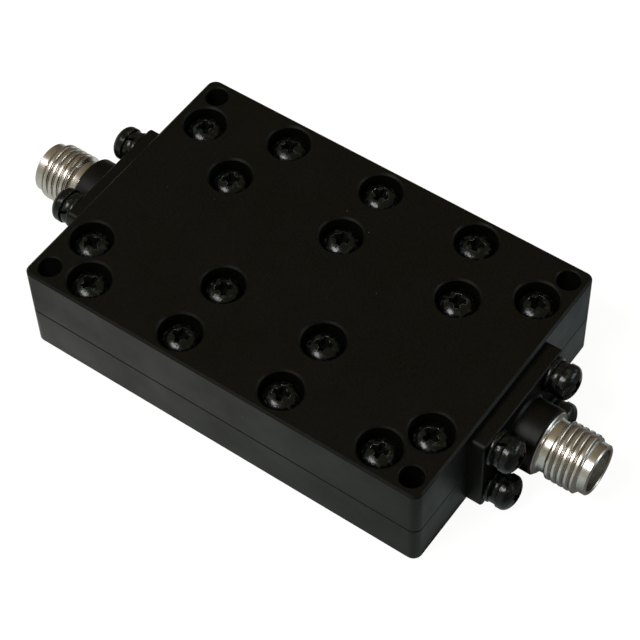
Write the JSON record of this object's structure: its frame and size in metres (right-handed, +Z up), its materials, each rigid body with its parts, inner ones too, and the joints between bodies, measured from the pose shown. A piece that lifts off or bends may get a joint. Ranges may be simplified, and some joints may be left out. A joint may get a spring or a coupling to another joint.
{
  "type": "high-pass filter module",
  "caption": "Black split-block radio-frequency high-pass filter with a screw-on coaxial jack at each end, closed by recessed pan-head screws.",
  "frame": {"origin": "centre of the block's bottom face", "axes": "+X from the input jack to the output jack, +Y across the block to its far side in the picture, +Z up out of the cover"},
  "size_m": [0.069, 0.032, 0.0114],
  "materials": {
    "block_finish": "matt black paint on milled aluminium",
    "cover_finish": "matt black paint on milled aluminium",
    "jack_steel": "turned stainless steel, flange and shoulder painted black",
    "screw_black": "black finished steel",
    "washer_black": "black finished steel",
    "insulator_white": "white fluoropolymer",
    "contact_gold": "gold plated copper alloy",
    "board_white": "glass reinforced fluoropolymer laminate",
    "foil_copper": "copper foil",
    "solder_grey": "solder",
    "dowel_steel": "ground hardened steel"
  },
  "bodies": {
    "root": {"base_half": "block_finish", "cover_half": "cover_finish", "cover_screws": "screw_black", "input_centre_contact": "contact_gold", "input_flange_screws": "screw_black", "input_flat_washers": "washer_black", "input_insulator": "insulator_white", "input_jack_shell": "jack_steel", "input_solder_joint": "solder_grey", "input_spring_washers": "washer_black", "left_dowel_pin": "dowel_steel", "lower_foil": "foil_copper", "output_centre_contact": "contact_gold", "output_flange_screws": "screw_black", "output_flat_washers": "washer_black", "output_insulator": "insulator_white", "output_jack_shell": "jack_steel", "output_solder_joint": "solder_grey", "output_spring_washers": "washer_black", "right_dowel_pin": "dowel_steel", "substrate_board": "board_white", "upper_foil": "foil_copper"}
  },
  "joints": []
}
